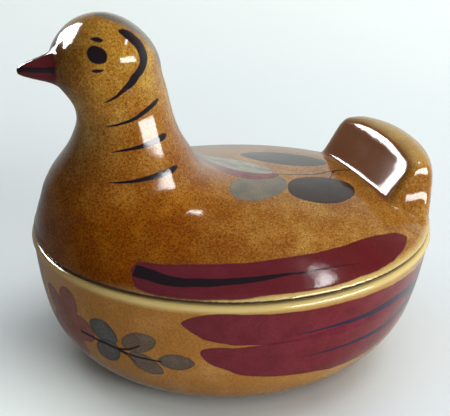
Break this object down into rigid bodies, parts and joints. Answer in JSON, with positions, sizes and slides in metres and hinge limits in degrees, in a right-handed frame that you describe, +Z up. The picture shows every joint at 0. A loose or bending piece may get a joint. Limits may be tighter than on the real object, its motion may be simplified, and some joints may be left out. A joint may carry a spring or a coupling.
{
  "type": "candy box",
  "caption": "Lidded oval candy box in glazed stoneware: a deep bowl on a low foot ring and a lift-off lid shaped as a sitting bird with a raised head and an upturned tail.",
  "frame": {"origin": "on the resting plane, under the middle of the box's overall length and width", "axes": "-X towards the bird's beak, +X towards its tail, +Y to the bird's right, +Z up"},
  "size_m": [0.2018, 0.1724, 0.1729],
  "materials": {
    "bowl_glaze": "glossy honey-brown glaze, paler at the rim",
    "lid_glaze": "glossy golden-brown speckled glaze"
  },
  "bodies": {
    "bowl": {"bowl": "bowl_glaze"},
    "lid": {"lid": "lid_glaze"}
  },
  "joints": [
    {"name": "lid_lift", "type": "slide", "parent": "bowl", "child": "lid", "axis": [0, 0, 1], "range_m": [0, 0.12]}
  ]
}
